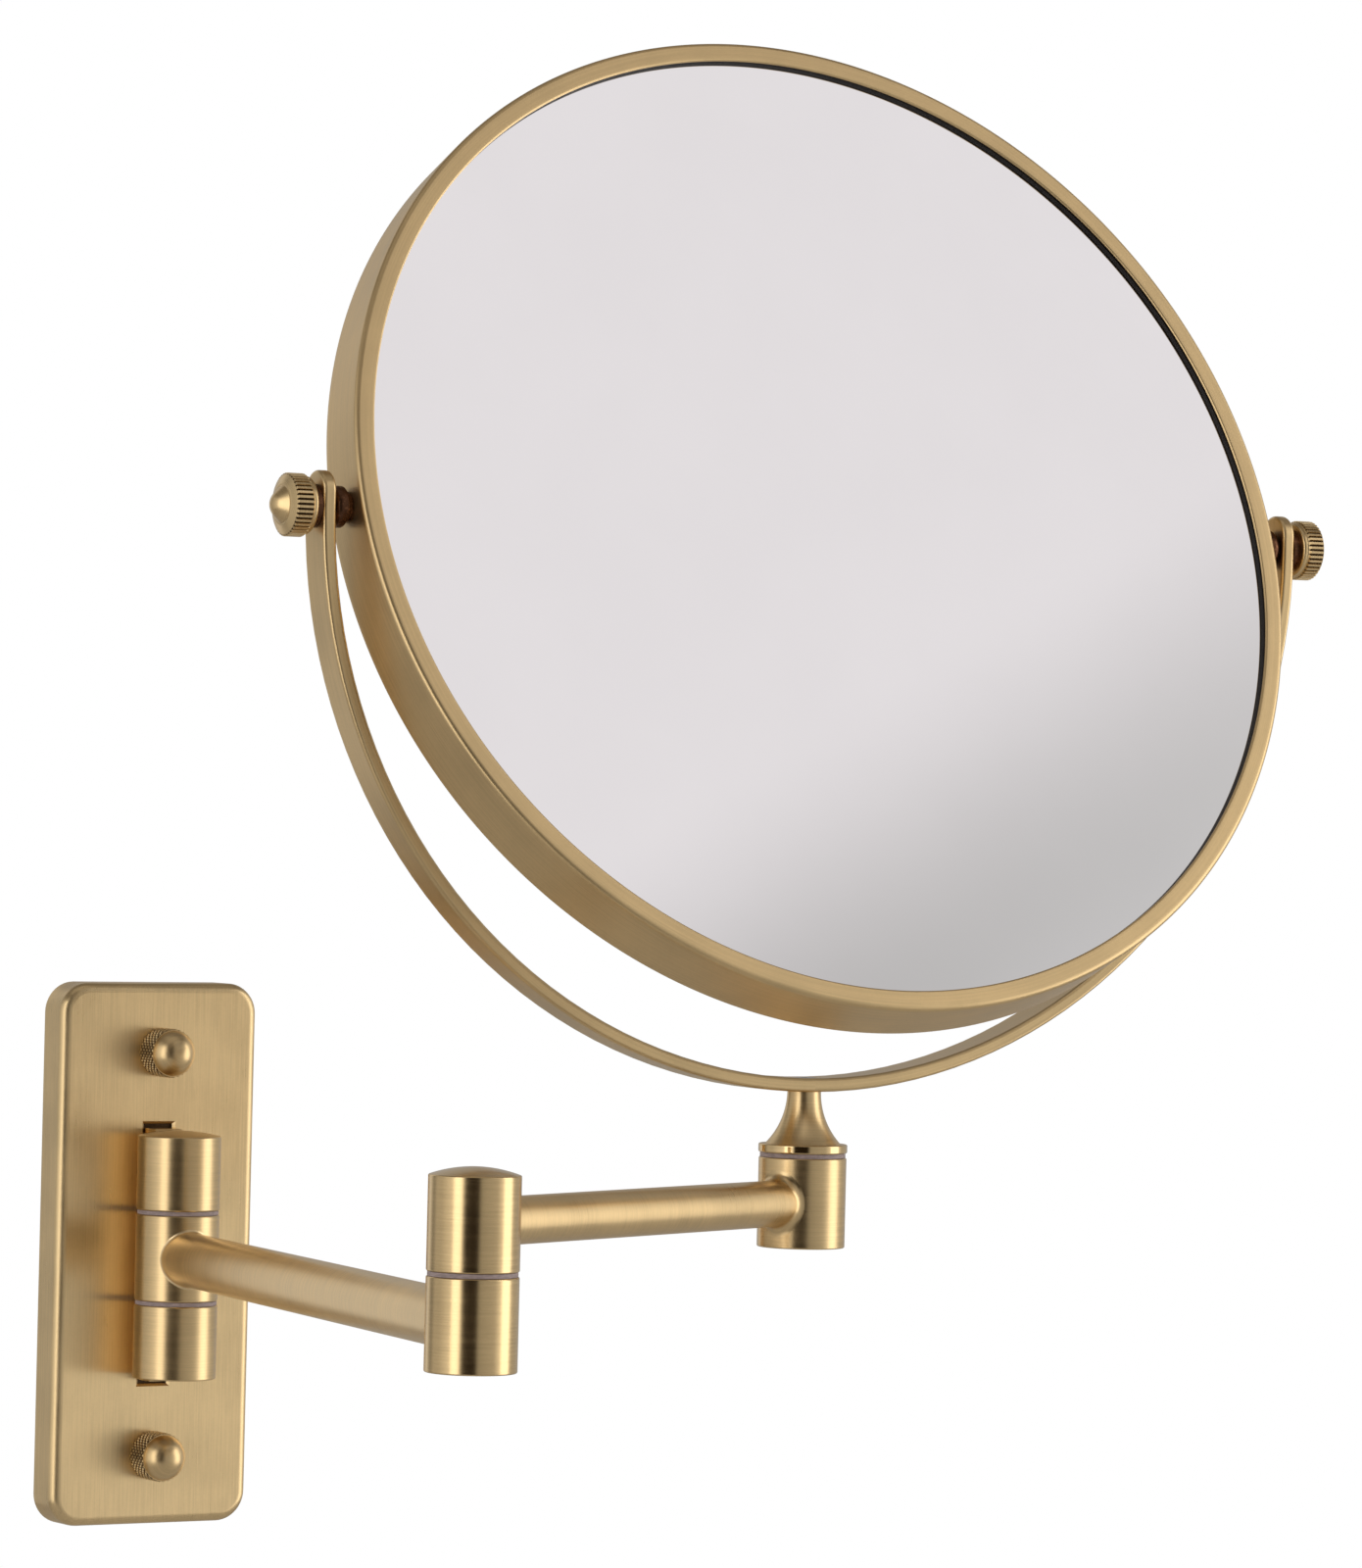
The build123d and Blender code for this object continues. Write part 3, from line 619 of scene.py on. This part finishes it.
class MIRROR_OT_brass(bpy.types.Operator):
    """Satin brass of the plate, barrels, tubes, yoke and rims"""

    bl_idname = "mirror.brass"
    bl_label = "Satin Brass"

    def execute(self, context):
        tints = context.scene.mirror_colours
        upright = Matrix.Translation
        lower_run = frame_of(HINGE, ELBOW - HINGE)
        level = Vector((SWIVEL.x, SWIVEL.y, ELBOW.z))
        upper_run = frame_of(ELBOW, level - ELBOW)
        dress(
            satin_brass("plate_brass", upright(HINGE), lines_along, tints.plate, 0.30,
                        spread=0.75),
            "cover_plate",
        )
        for name, axis, sheen, nodes in (
            ("hinge_brass", HINGE, 0.31,
             ("upper_hinge_barrel", "lower_hinge_barrel", "wall_knuckle")),
            ("elbow_brass", ELBOW, 0.22, ("elbow_lower_barrel", "elbow_upper_barrel")),
            ("end_brass", SWIVEL, 0.30, ("end_barrel",)),
        ):
            dress(
                satin_brass(name, upright(axis), lines_about_axis, tints.brass, sheen,
                            turn=0.25, spread=0.4),
                *nodes,
            )
        # Painted light: the lower tube's brighter tint stands in for light, the metal is the
        # same brass as the upper tube
        dress(satin_brass("lower_tube_brass_painted_light", lower_run, lines_about_axis, tints.tube, 0.32),
              "lower_arm_tube")
        dress(satin_brass("upper_tube_brass", upper_run, lines_about_axis, tints.brass, 0.30),
              "upper_arm_tube")
        dress(satin_brass("back_brass", MIRROR_FRAME, lines_round_face, tints.brass, 0.38),
              "rear_rim")
        yoke_plane = frame_of(PIVOT, PIVOT_LINE.cross(Vector((0, 0, 1))))
        dress(satin_brass("yoke_brass", yoke_plane, lines_round_face, tints.brass, 0.32),
              "yoke_strip")
        stem_low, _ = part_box("yoke_stem")
        ledge = stem_low.z + COLLAR
        dress(stem_brass("stem_brass", upright(SWIVEL), tints.brass, 0.30, ledge),
              "yoke_stem")
        return {"FINISHED"}


class MIRROR_OT_fittings(bpy.types.Operator):
    """Glass, rubber, bronze, nylon, steel and board of the smaller pieces"""

    bl_idname = "mirror.fittings"
    bl_label = "Glass and Fittings"

    def execute(self, context):
        tints = context.scene.mirror_colours
        dress(silvered_finish("silvered_glass", MIRROR_FRAME, tints.silver),
              "plain_glass")
        dress(rubber_finish("gasket_rubber", MIRROR_FRAME, tints.rubber),
              "front_gasket", "rear_gasket")
        dress(bronze_finish("dark_bronze", frame_of(PIVOT, PIVOT_LINE), tints.bronze),
              "left_pivot_spacer", "right_pivot_spacer",
              "left_pivot_washer", "right_pivot_washer")
        dress(nylon_finish("pale_nylon", Matrix.Identity(4), tints.nylon),
              "upper_hinge_washer", "lower_hinge_washer", "elbow_washer", "swivel_washer")
        # Painted shade: the back plate and lug screws take the near-black colour that stands in
        # for the shade inside the slots
        dress(steel_finish("blackened_steel", Matrix.Identity(4), tints.slot_shade_steel),
              "hinge_back_plate", "lug_screws")
        dress(steel_finish("plated_steel", Matrix.Identity(4), tints.steel),
              "mounting_strap", "upper_stud", "lower_stud", "hinge_screw",
              "hinge_spring_washer", "elbow_screw", "elbow_spring_washer", "swivel_screw",
              "swivel_spring_washer", "yoke_screw", "left_pivot_stud", "right_pivot_stud")
        dress(board_finish("pressed_board", MIRROR_FRAME, tints.board),
              "backing_disc", "glass_spacer_ring")
        return {"FINISHED"}


class MIRROR_OT_rim(bpy.types.Operator):
    """Mirror's front rim: deep side wall, flat spun face and a rounded edge"""

    bl_idname = "mirror.rim"
    bl_label = "Mirror Rim"

    def execute(self, context):
        sizes = context.scene.mirror_rim
        radius, opening = sizes.radius, sizes.opening
        front, wall = sizes.half_depth, sizes.wall
        outer, inner, rear = sizes.outer_round, sizes.inner_round, sizes.rear_round
        profile = outline(
            straight((radius, rear - front), (radius, front - outer), 12),
            arc((radius - outer, front - outer), outer, 0, 90, 14),
            straight((radius - outer, front), (opening + inner, front), 5),
            arc((opening + inner, front - inner), inner, 90, 180, 8),
            straight((opening, front - inner), (opening, front - wall), 4),
            straight((opening, front - wall), (radius - wall, front - wall), 3),
            straight((radius - wall, front - wall), (radius - wall, -front), 3),
            straight((radius - wall, -front), (radius - rear, -front), 2),
            arc((radius - rear, rear - front), rear, -90, 0, 6),
        )
        piece = ring_surface("front_rim_spun", MIRROR_FRAME, profile, 960)
        tint = context.scene.mirror_colours.brass
        piece.data.materials.append(
            rim_brass("rim_brass", MIRROR_FRAME, tint, 0.38, opening, front - inner)
        )
        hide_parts("front_rim")
        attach(piece, "mirror")
        return {"FINISHED"}


class MIRROR_OT_magnifier(bpy.types.Operator):
    """Concave glass at the back, an even sheet between two spherical caps"""

    bl_idname = "mirror.magnifier"
    bl_label = "Magnifying Glass"

    def execute(self, context):
        sizes = context.scene.mirror_glass
        radius, rise, edge = sizes.radius, sizes.rise, -sizes.face
        sphere = (radius**2 + rise**2) / (2 * rise)
        lean = math.degrees(math.acos(radius / sphere))
        back_centre = (0, edge + rise - sphere)
        front_centre = (0, edge + rise + sizes.thickness - sphere)
        profile = outline(
            arc(back_centre, sphere, 90, lean, 60),
            straight((radius, edge), (radius, edge + sizes.thickness), 3),
            arc(front_centre, sphere, lean, 90, 60),
            [(0, edge + rise + sizes.thickness)],
        )
        radii = np.repeat(profile[:, 0][:, None], 360, axis=1)
        heights = profile[:, 1][:, None]
        piece = turned_surface("magnifying_glass_dished", MIRROR_FRAME, radii, heights)
        tint = context.scene.mirror_colours.silver
        piece.data.materials.append(silvered_finish("silvered_back", MIRROR_FRAME, tint))
        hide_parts("magnifying_glass")
        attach(piece, "mirror")
        return {"FINISHED"}


class MIRROR_OT_thumb_nuts(bpy.types.Operator):
    """Thumb nuts with a diamond knurl on the band and a smooth dome"""

    bl_idname = "mirror.thumb_nuts"
    bl_label = "Thumb Nuts"

    def execute(self, context):
        sizes = context.scene.mirror_nuts
        tint = context.scene.mirror_colours.brass
        for node, body in (("upper_thumb_nut", "upper_nut"), ("lower_thumb_nut", "lower_nut")):
            low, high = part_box(node)
            foot = Vector(((low.x + high.x) / 2, high.y, (low.z + high.z) / 2))
            place = frame_of(foot, (0, -1, 0))
            radius = (high.x - low.x) / 2
            piece = self.nut(node + "_knurled", place, radius, high.y - low.y, sizes)
            piece.data.materials.append(
                knurled_brass(
                    node + "_brass", place, tint, 0.32, radius - sizes.depth, radius,
                    0.0, sizes.band,
                )
            )
            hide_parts(node)
            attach(piece, body)
        return {"FINISHED"}

    @staticmethod
    def nut(name, place, radius, reach, sizes):
        """Turned nut whose band carries two families of helical grooves.

        The band's radius drops by depth times one minus the smaller of two triangle
        waves, one of (ridges times angle plus height) and one of (ridges times angle
        minus height), so square pyramids stand between the grooves. The dome is an arc
        from the band's shoulder to the pole.
        """
        band = sizes.band
        chamfer = 0.35 * MM
        dome_radius = radius - 0.5 * MM
        dome = reach - band
        sphere = (dome_radius**2 + dome**2) / (2 * dome)
        half = math.degrees(math.asin(min(1.0, dome_radius / sphere)))
        start = 90 - half if dome < dome_radius else half - 90
        profile = outline(
            straight((0, 0), (radius - chamfer, 0), 6),
            straight((radius - chamfer, 0), (radius, chamfer), 4),
            straight((radius, chamfer), (radius, band - chamfer), 56),
            straight((radius, band - chamfer), (radius - chamfer, band), 4),
            straight((radius - chamfer, band), (dome_radius, band), 2),
            arc((0, reach - sphere), sphere, start, 90, 40),
            [(0, reach)],
        )
        columns = sizes.ridges * 10
        angle = np.arange(columns) * (2 * math.pi / columns)
        height = profile[:, 1][:, None]
        climb = height / radius
        wave = [
            np.abs(((sizes.ridges * (angle + way * climb)) / (2 * math.pi)) % 1 - 0.5) * 2
            for way in (1, -1)
        ]
        groove = 1 - np.minimum(*wave)
        on_band = np.clip(np.minimum(height, band - height) / chamfer, 0, 1)
        at_rim = (profile[:, 0] > radius - 1.01 * chamfer)[:, None] & (height < band)
        radii = profile[:, 0][:, None] - sizes.depth * groove * on_band * at_rim
        return turned_surface(name, place, radii, height, 35)


class MIRROR_OT_knobs(bpy.types.Operator):
    """Pivot knobs with a straight knurl, a bevel and a coned nose"""

    bl_idname = "mirror.knobs"
    bl_label = "Pivot Knobs"

    # Radius over the ribs, and the lengths of the shoulder and of the ribbed band
    RADIUS, SHOULDER, KNURL = 6.65 * MM, 1.2 * MM, 4.0 * MM

    def execute(self, context):
        sizes = context.scene.mirror_knobs
        tint = context.scene.mirror_colours.brass
        for side, sign in (("left", -1), ("right", 1)):
            node = side + "_knob"
            low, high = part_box(node)
            centre = (low + high) / 2
            outward = PIVOT_LINE * sign
            half = self.half_length(node, outward)
            place = frame_of(PIVOT + outward * ((centre - PIVOT).dot(outward) - half), outward)
            piece = self.knob(node + "_ribbed", place, 2 * half, sizes)
            piece.data.materials.append(
                knurled_brass(
                    node + "_brass", place, tint, 0.28, self.RADIUS - sizes.depth, self.RADIUS,
                    self.SHOULDER, self.SHOULDER + self.KNURL,
                )
            )
            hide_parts(node)
            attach(piece, side + "_pivot_knob")
        return {"FINISHED"}

    @staticmethod
    def half_length(node, along):
        """Half of a node's reach along a direction."""
        mesh = frame["nodes"][node].data
        points = np.empty(len(mesh.vertices) * 3, np.float32)
        mesh.vertices.foreach_get("co", points)
        reach = points.reshape(-1, 3) @ np.array(along)
        return float(reach.max() - reach.min()) / 2

    @classmethod
    def knob(cls, name, place, reach, sizes):
        """Turned knob whose middle carries straight ribs.

        The radius drops by depth times a groove wave of (ribs times angle): zero on a
        rib's flat top, one on the groove's floor, with smooth flanks between.
        """
        radius, shoulder, knurl = cls.RADIUS, cls.SHOULDER, cls.KNURL
        bevel, foot_radius = 0.7 * MM, 6.1 * MM
        root = radius - sizes.depth
        bevel_radius, nose_radius, tip_radius = 4.35 * MM, 4.0 * MM, 3.4 * MM
        tip_centre = reach - tip_radius
        start = math.atan2(shoulder + knurl + bevel - tip_centre, nose_radius)
        slope = start + math.acos(tip_radius * math.cos(start) / nose_radius)
        soft = 0.3 * MM
        round_foot = shoulder / 2
        top = shoulder + knurl
        profile = outline(
            straight((0, 0), (foot_radius - round_foot, 0), 6),
            arc((foot_radius - round_foot, round_foot), round_foot, -90, 0, 10),
            straight((foot_radius, round_foot), (foot_radius, shoulder), 4),
            straight((root, shoulder), (radius, shoulder + soft), 5),
            straight((radius, shoulder + soft), (radius, top - soft), 16),
            straight((radius, top - soft), (root, top), 5),
            straight((root, top), (bevel_radius, top + bevel), 10),
            straight((bevel_radius, top + bevel), (nose_radius, top + bevel), 3),
            straight(
                (nose_radius, top + bevel),
                (tip_radius * math.cos(slope), tip_centre + tip_radius * math.sin(slope)),
                16,
            ),
            arc((0, tip_centre), tip_radius, math.degrees(slope), 90, 14),
            [(0, reach)],
        )
        columns = sizes.ribs * 12
        angle = np.arange(columns) * (2 * math.pi / columns)
        wave = np.abs((sizes.ribs * angle / (2 * math.pi)) % 1 - 0.5) * 2
        groove = np.clip((wave - 0.5) / 0.34, 0, 1)
        groove = groove * groove * (3 - 2 * groove)
        base, height = profile[:, 0][:, None], profile[:, 1][:, None]
        hair = 1e-7
        ribbed = (base > root + hair) & (height > shoulder - hair) & (height < top)
        radii = np.where(ribbed, np.minimum(base, radius - sizes.depth * groove), base)
        return turned_surface(name, place, radii, height, 30)


class MIRROR_OT_stage(bpy.types.Operator):
    """Floor, lamps, world and the camera at the photograph's angle"""

    bl_idname = "mirror.stage"
    bl_label = "Stage"

    # Where the camera stands, how it is turned, and its lens on a full-height sensor
    EYE = Vector((-0.7204, -1.4129, 0.1085))
    YAW, PITCH, ROLL = math.radians(31.455), math.radians(0.075), math.radians(1.378)
    LENS_MM, SENSOR_MM = 157.5, 36.0

    def execute(self, context):
        studio = context.scene.mirror_studio
        self.floor(studio.floor_drop, context.scene.mirror_colours.floor)
        self.camera()
        self.lamps(studio)
        self.world(context.scene)
        return {"FINISHED"}

    def axes(self):
        """Forward, right and up of the camera."""
        forward = Vector(
            (
                math.sin(self.YAW) * math.cos(self.PITCH),
                math.cos(self.YAW) * math.cos(self.PITCH),
                math.sin(self.PITCH),
            )
        )
        right = Vector((math.cos(self.YAW), -math.sin(self.YAW), 0))
        up = right.cross(forward)
        tilted_right = right * math.cos(self.ROLL) + up * math.sin(self.ROLL)
        tilted_up = up * math.cos(self.ROLL) - right * math.sin(self.ROLL)
        return forward, tilted_right, tilted_up

    def camera(self):
        forward, right, up = self.axes()
        lens = bpy.data.cameras.new("studio_camera")
        lens.sensor_fit = "VERTICAL"
        lens.sensor_height = self.SENSOR_MM
        lens.lens = self.LENS_MM
        lens.clip_start = 0.05
        lens.clip_end = 50.0
        camera = bpy.data.objects.new("studio_camera", lens)
        turn = Matrix((right, up, -forward)).transposed().to_4x4()
        camera.matrix_world = Matrix.Translation(self.EYE) @ turn
        bpy.context.scene.collection.objects.link(camera)
        bpy.context.scene.camera = camera

    @staticmethod
    def floor(drop, tint):
        """Round floor: rings of points, each (radius cos angle, radius sin angle, -drop)."""
        columns = 96
        angles = np.arange(columns) * (2 * math.pi / columns)
        rings = np.linspace(0.4, 2.6, 6)[:, None]
        grid = np.stack(
            [rings * np.cos(angles), rings * np.sin(angles), 0 * rings * angles - drop], axis=-1
        )
        index = np.arange(grid[..., 0].size).reshape(grid.shape[:2])
        after = np.roll(index, -1, axis=1)
        quads = np.stack([index[:-1], index[1:], after[1:], after[:-1]], axis=-1).reshape(-1, 4)
        middle = np.stack([index[0], after[0], np.full(columns, index.size)], axis=-1)
        points = np.vstack([grid.reshape(-1, 3), [[0, 0, -drop]]])
        piece = surface_object("floor", Matrix.Identity(4), points, [quads, middle], 40)

        def vary(finish):
            point = finish.add("ShaderNodeTexCoord")["Object"]
            cloud = finish.noise(finish.scaled(point, (3, 3, 3)), 2.0, 0.5)
            pale = tuple(min(1.0, c * 1.03) for c in tint)
            return {
                "Base Color": finish.blend(finish.span(cloud, 0.3, 0.7), tint, pale),
                "Roughness": finish.span(cloud, 0.3, 0.7, 0.8, 0.9),
            }

        piece.data.materials.append(new_finish("studio_floor", {}, vary))

    def lamps(self, studio):
        """Three soft boxes: tall ones left and right of the camera, a wide one above."""
        forward, right, _ = self.axes()
        aim = Vector((0.03, -0.12, 0.08))
        for name, turn, climb, distance, width, height, power in (
            ("left_box", -38.0, 4.0, 2.2, 0.8, 2.4, studio.left_box),
            ("right_box", 91.0, 4.0, 2.2, 1.1, 2.4, studio.right_box),
            ("overhead_box", 10.0, 78.0, 2.2, 2.2, 1.6, studio.overhead),
        ):
            side, rise = math.radians(turn), math.radians(climb)
            flat = -forward * math.cos(side) + right * math.sin(side)
            flat.z = 0
            flat.normalize()
            away = flat * math.cos(rise) + Vector((0, 0, math.sin(rise)))
            lamp = bpy.data.lights.new(name, "AREA")
            lamp.shape = "RECTANGLE"
            lamp.size, lamp.size_y = width, height
            lamp.energy = power
            lamp.color = (1.0, 0.985, 0.96)
            box = bpy.data.objects.new(name, lamp)
            box.matrix_world = frame_of(aim + away * distance, away)
            box.visible_camera = False
            bpy.context.scene.collection.objects.link(box)

    def world(self, scene):
        """White to the camera; a studio of pale and dark zones to everything else."""
        world = bpy.data.worlds.new("studio")
        world.use_nodes = True
        scene.world = world
        sky = Finish(world.node_tree)
        forward, right, _ = self.axes()
        direction = sky.add("ShaderNodeTexCoord")["Generated"]
        x, y, z = sky.parts_of(direction)
        ahead = x * -forward.x + y * -forward.y
        aside = x * right.x + y * right.y
        azimuth = aside.maths("ARCTAN2", ahead) * (0.5 / math.pi) + 0.5
        dark = (0.020, 0.014, 0.009)
        ceiling = near_ground = (0.20, 0.185, 0.17)
        far_ground = (0.42, 0.385, 0.35)
        walls = sky.ramp(
            azimuth,
            [
                (0.00, 0.40), (0.08, 0.50), (0.12, 0.82), (0.145, 0.52), (0.165, 0.27),
                (0.185, 0.30), (0.21, 0.52), (0.26, 0.52),
                (0.34, 0.85), (0.375, 1.10), (0.422, 1.10), (0.440, dark), (0.533, dark),
                (0.556, 0.40), (0.67, 0.52), (0.715, 1.05), (0.785, 1.10), (0.83, 0.50),
                (1.00, 0.40),
            ],
        )
        upper = sky.blend(sky.span(z, 0.45, 0.75), walls, ceiling)
        ground = sky.blend(sky.span(ahead, -0.3, 0.1), far_ground, near_ground)
        round_about = sky.blend(sky.span(z, -0.85, -0.40), ground, upper)
        card_colour = (0.817, 0.794, 0.803)
        sight = (GLASS_CENTRE - self.EYE).normalized()
        card = sight - 2 * sight.dot(MIRROR_FRONT) * MIRROR_FRONT
        edge = PIVOT_LINE * 0.5 - MIRROR_FRONT.cross(PIVOT_LINE)
        lean = x * edge.x + y * edge.y + z * edge.z - card.dot(edge)
        facing = x * card.x + y * card.y + z * card.z
        on_card = sky.span(lean, 0.077, 0.026) * sky.span(facing, 0.955, 0.985)
        colour_of_room = sky.blend(on_card, round_about, card_colour)
        room = sky.add("ShaderNodeBackground", None, {"Color": colour_of_room, "Strength": 1.0})
        white = sky.add("ShaderNodeBackground", None, {"Color": (1, 1, 1, 1), "Strength": 1.0})
        seen = sky.add("ShaderNodeLightPath")["Is Camera Ray"]
        mixed = sky.add(
            "ShaderNodeMixShader", None,
            {0: seen, 1: room["Background"], 2: white["Background"]},
        )
        sky.add("ShaderNodeOutputWorld", None, {"Surface": mixed["Shader"]})
        scene.view_settings.view_transform = "Standard"


class MIRROR_PT_sidebar(bpy.types.Panel):
    """The pieces and the stage, in the order they are made"""

    bl_label = "Makeup Mirror"
    bl_idname = "MIRROR_PT_sidebar"
    bl_space_type = "VIEW_3D"
    bl_region_type = "UI"
    bl_category = "Makeup Mirror"

    def draw(self, context):
        for group in GROUPS:
            box = self.layout.box()
            settings = getattr(context.scene, group)
            for name in settings.__annotations__:
                box.prop(settings, name)
        for operator in OPERATORS:
            self.layout.operator(operator.bl_idname)


GROUPS = {
    "mirror_rim": MirrorRimSizes,
    "mirror_glass": MirrorGlassSizes,
    "mirror_nuts": MirrorNutSizes,
    "mirror_knobs": MirrorKnobSizes,
    "mirror_colours": MirrorColours,
    "mirror_studio": MirrorStudio,
}
OPERATORS = (
    MIRROR_OT_brass,
    MIRROR_OT_fittings,
    MIRROR_OT_rim,
    MIRROR_OT_magnifier,
    MIRROR_OT_thumb_nuts,
    MIRROR_OT_knobs,
    MIRROR_OT_stage,
)


def register():
    for group in GROUPS.values():
        bpy.utils.register_class(group)
    for name, group in GROUPS.items():
        setattr(bpy.types.Scene, name, PointerProperty(type=group))
    for operator in OPERATORS:
        bpy.utils.register_class(operator)
    bpy.utils.register_class(MIRROR_PT_sidebar)


def unregister():
    bpy.utils.unregister_class(MIRROR_PT_sidebar)
    for operator in reversed(OPERATORS):
        bpy.utils.unregister_class(operator)
    for name, group in reversed(GROUPS.items()):
        delattr(bpy.types.Scene, name)
        bpy.utils.unregister_class(group)


def main():
    register()
    for operator in OPERATORS:
        family, name = operator.bl_idname.split(".")
        getattr(getattr(bpy.ops, family), name)()


if __name__ == "__main__":
    main()
